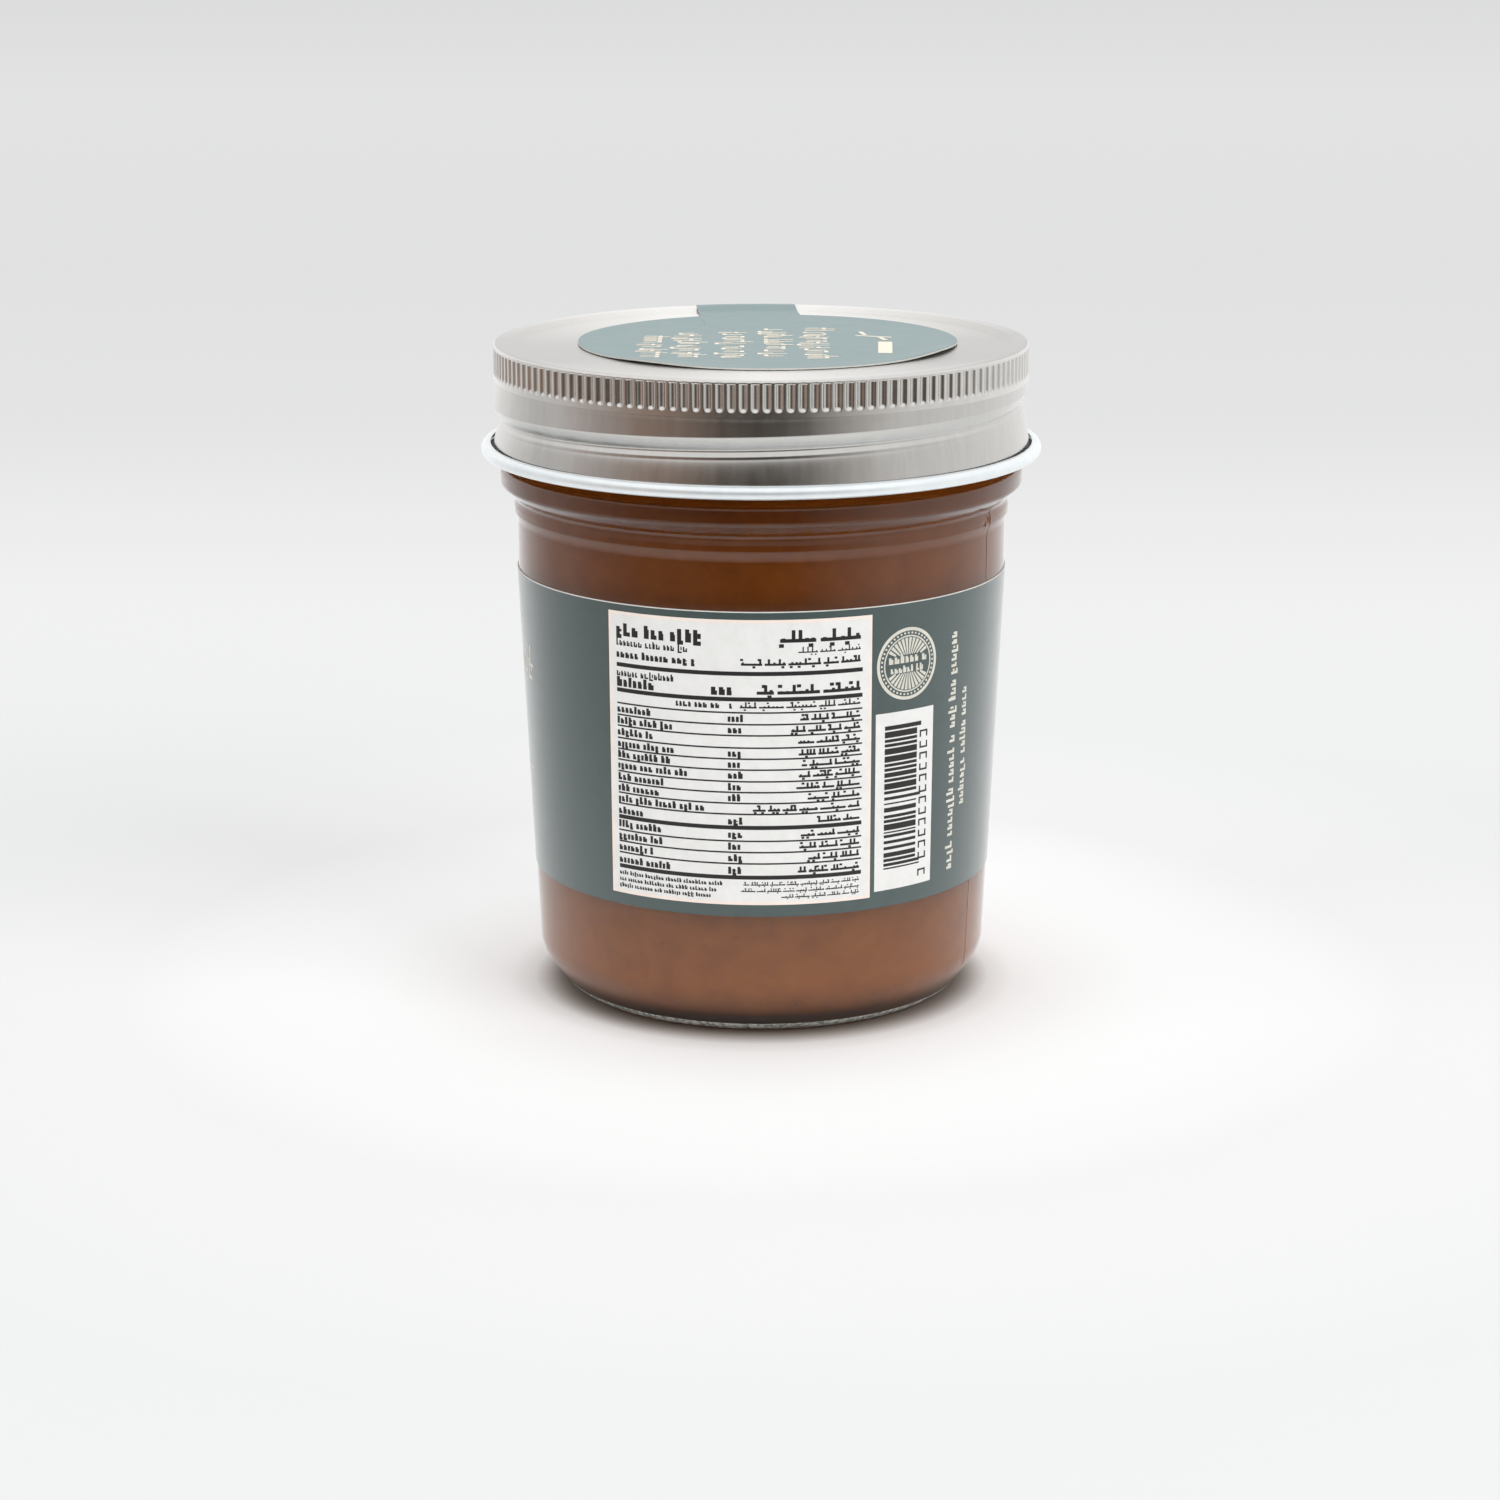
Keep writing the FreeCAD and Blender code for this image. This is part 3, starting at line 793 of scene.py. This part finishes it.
# marks on the seal: columns of plain blocks
class Flat:
    """Flat marks on the seal, each at one of five heights so that no two that cross lie in one plane."""

    LOW, STEP, STEPS = 0.012, 0.003, 5

    def __init__(self):
        self.v, self.f = [], []

    def quad(self, x, y, w, h, turn):
        c, s = math.cos(turn), math.sin(turn)
        k = len(self.v)
        step = self.STEP * (len(self.f) % self.STEPS)
        for a, b in ((-w, -h), (w, -h), (w, h), (-w, h)):
            px, py = x + (a * c - b * s) / 2, y + (a * s + b * c) / 2
            dx, dy = px - SEAL_X, py - SEAL_Y
            raised = float(lift(math.atan2(dx, -dy), math.hypot(dx, dy)))
            self.v.append((px, py, SEAL_Z + SEAL_T + self.LOW + step + raised))
        self.f.append((k, k + 1, k + 2, k + 3))


marks = Flat()
for x0, x1, y0, y1 in ((-16.9, -13.1, -14.0, 8.5), (-12.0, -7.9, -14.0, 9.5), (-6.0, -1.8, -14.3, 11.4),
                       (-0.2, 3.7, -13.2, 13.3), (5.1, 9.5, -15.2, 14.3)):
    y, tall = y0, x1 - x0
    while y < y1 - 1.2:
        for _ in range(int(rng.integers(2, 6))):
            wide = rng.uniform(1.0, 1.7)
            if y + wide > y1:
                break
            reach = tall * (0.95 if rng.random() < 0.35 else 0.6)
            left = x0 + tall * 0.22 if reach < tall * 0.8 or rng.random() < 0.5 else x0
            marks.quad(left + reach / 2, y + 0.24, reach, 0.48, 0.06)
            side = left if rng.random() < 0.5 else left + min(reach, tall * 0.6)
            marks.quad(side, y + wide / 2, 0.55, wide, 0.0)
            if rng.random() < 0.6:
                marks.quad(left + tall * 0.25, y + wide * 0.85, tall * 0.42, 0.42, 0.06)
            y += wide + 0.35
        y += 0.9
marks.quad(16.7, -5.0, 1.9, 10.6, -0.03)
marks.quad(15.4, 5.4, 5.2, 0.7, -0.35)
marks.quad(14.0, 8.4, 0.6, 3.4, 0.2)
marks.quad(16.6, 3.2, 0.7, 2.6, 0.3)
printed_marks = add_mesh("seal_print", marks.v, marks.f, [seal_cream.m])
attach(printed_marks, "root")

# ---------------------------------------------------------------- stage
FLOOR = (0.63, 0.634, 0.632, 1)
# the table's colour by distance from the jar's axis, as a part of 0.2 m: a painted contact shadow, darkest
# where the jar touches it, then painted light that brightens the table round the jar before it fades to the
# plain table
NEAR_PAINTED_SHADOW_AND_LIGHT = [
    (0.138, (0.24, 0.20, 0.17, 1)), (0.148, (0.48, 0.45, 0.43, 1)), (0.16, (0.78, 0.77, 0.76, 1)),
    (0.178, (0.875, 0.86, 0.855, 1)), (0.27, (0.82, 0.82, 0.815, 1)), (0.45, (0.685, 0.685, 0.68, 1)),
    (0.75, FLOOR)]
# the far table as the camera sees it, by distance behind the jar, as a part of 2.5 m
FAR = [(0.04, 0.905), (0.1, 0.88), (0.19, 0.775), (0.32, 0.755), (0.62, 0.765), (0.96, 0.72)]
SKY_LOW, SKY_HIGH = (0.5, 0.505, 0.51, 1), (0.95, 0.955, 0.96, 1)
CEILING = (0.95, 0.95, 0.95, 1)
# the room that polished metal and glass reflect: fraction of a turn, from the left through the front at 0.25
ROOM = [
    (0.0, (0.60, 0.55, 0.54)), (0.045, (0.44, 0.40, 0.38)), (0.11, (0.30, 0.22, 0.18)),
    (0.165, (0.22, 0.16, 0.13)), (0.2, (0.11, 0.09, 0.075)), (0.25, (0.07, 0.06, 0.05)),
    (0.29, (0.10, 0.09, 0.08)), (0.35, (0.42, 0.40, 0.38)), (0.41, (0.70, 0.69, 0.68)),
    (0.5, (0.80, 0.80, 0.79)), (0.66, (1.0, 1.0, 1.0)), (0.84, (1.0, 1.0, 1.0)), (0.95, (0.62, 0.61, 0.60)),
]


def room_ramp(nt, vec):
    """The room's brightness by direction, from a vector that starts at the jar."""
    grad = nt.nodes.new("ShaderNodeTexGradient")
    grad.gradient_type = "RADIAL"
    nt.links.new(vec, grad.inputs["Vector"])
    return colour_ramp(nt, grad.outputs["Fac"], [(pos, col + (1.0,)) for pos, col in ROOM])


# white table: seen by the camera it fades into the backdrop, seen in metal and glass it gives way to the room
table = Mat("stage_white").set(Roughness=0.8)
table.p.inputs["Specular IOR Level"].default_value = 0.1
place = table.tc.outputs["Object"]
ray = table.node("ShaderNodeLightPath")
sep = table.node("ShaderNodeSeparateXYZ")
table.link(place, sep.inputs["Vector"])
far = table.ramp(table.span(sep.outputs["Y"], 0.0, 2.5, 0.0, 1.0),
                 *[(pos, (v, v * 1.003, v * 1.003, 1)) for pos, v in FAR])
reach = table.node("ShaderNodeVectorMath", operation="LENGTH")
table.link(place, reach.inputs[0])
table.colour(table.ramp(table.span(reach.outputs["Value"], 0.0, 0.2, 0.0, 1.0), *NEAR_PAINTED_SHADOW_AND_LIGHT))
shader = table.p.outputs["BSDF"]
# (distance, where it starts and ends to take over, kind of ray, colour)
for distance, start, end, kind, colour in (
        (sep.outputs["Y"], 0.06, 0.26, "Is Camera Ray", far),
        (reach.outputs["Value"], 0.07, 0.3, "Is Glossy Ray", room_ramp(table.nt, place))):
    part = table.node("ShaderNodeMath", operation="MULTIPLY")
    table.link(table.span(distance, start, end, 0.0, 1.0), part.inputs[0])
    table.link(ray.outputs[kind], part.inputs[1])
    glow = table.node("ShaderNodeEmission")
    table.link(colour, glow.inputs["Color"])
    blend = table.node("ShaderNodeMixShader")
    table.link(part.outputs["Value"], blend.inputs["Fac"])
    table.link(shader, blend.inputs[1])
    table.link(glow.outputs["Emission"], blend.inputs[2])
    shader = blend.outputs["Shader"]
table.link(shader, table.out.inputs["Surface"])
corners = [(-9000, -9000, 0), (9000, -9000, 0), (9000, 12000, 0), (-9000, 12000, 0)]
floor = add_mesh("stage_floor", corners, [(0, 1, 2, 3)], [table.m])

world = bpy.data.worlds.new("studio")
bpy.context.scene.world = world
world.use_nodes = True
wt = world.node_tree
toward = wt.nodes.new("ShaderNodeTexCoord").outputs["Generated"]
around_jar = room_ramp(wt, toward)
sep = wt.nodes.new("ShaderNodeSeparateXYZ")
wt.links.new(toward, sep.inputs["Vector"])
high = wt.nodes.new("ShaderNodeMapRange")
high.interpolation_type = "SMOOTHSTEP"
high.inputs["From Min"].default_value = 0.14
high.inputs["From Max"].default_value = 0.72
wt.links.new(sep.outputs["Z"], high.inputs["Value"])
ray = wt.nodes.new("ShaderNodeLightPath")
room = mix_colours(wt, high.outputs["Result"], around_jar, CEILING)
sky = mix_colours(wt, high.outputs["Result"], SKY_LOW, SKY_HIGH)
backdrop = wt.nodes["Background"]
wt.links.new(mix_colours(wt, ray.outputs["Is Glossy Ray"], sky, room), backdrop.inputs["Color"])
backdrop.inputs["Strength"].default_value = 1.0


def lamp(name, loc, aim, size, power):
    """A rectangular soft box that isn't itself reflected."""
    d = bpy.data.lights.new(name, "AREA")
    d.shape = "RECTANGLE"
    d.size, d.size_y = size
    d.energy = power
    o = bpy.data.objects.new(name, d)
    o.location = loc
    o.rotation_euler = (Vector(aim) - Vector(loc)).to_track_quat("-Z", "Y").to_euler()
    o.visible_glossy = False
    bpy.context.scene.collection.objects.link(o)


lamp("soft_top", (0.0, 0.3, 1.1), (0, 0, 0.03), (1.2, 1.0), 5.0)
lamp("soft_right", (0.75, -0.65, 0.65), (0, 0, 0.05), (0.7, 0.7), 5.5)
lamp("soft_left", (-0.85, -0.45, 0.5), (0, 0, 0.05), (0.7, 0.7), 2.2)

CAMERA_AT = (0, -0.5054, 0.1621)
LENS, SENSOR = 89.69, 36.0
YAW, DOWN, ROLL = (math.radians(a) for a in (0.18, 14.40, -0.08))
cam = bpy.data.cameras.new("cam")
cam.lens, cam.sensor_width, cam.sensor_fit = LENS, SENSOR, "HORIZONTAL"
cam.clip_start, cam.clip_end = 0.01, 50.0
viewer = bpy.data.objects.new("cam", cam)
viewer.matrix_world = (Matrix.Translation(CAMERA_AT) @ Matrix.Rotation(YAW, 4, "Z")
                       @ Matrix.Rotation(math.pi / 2 - DOWN, 4, "X") @ Matrix.Rotation(ROLL, 4, "Z"))
bpy.context.scene.collection.objects.link(viewer)
bpy.context.scene.camera = viewer
bpy.context.scene.view_settings.view_transform = "Standard"
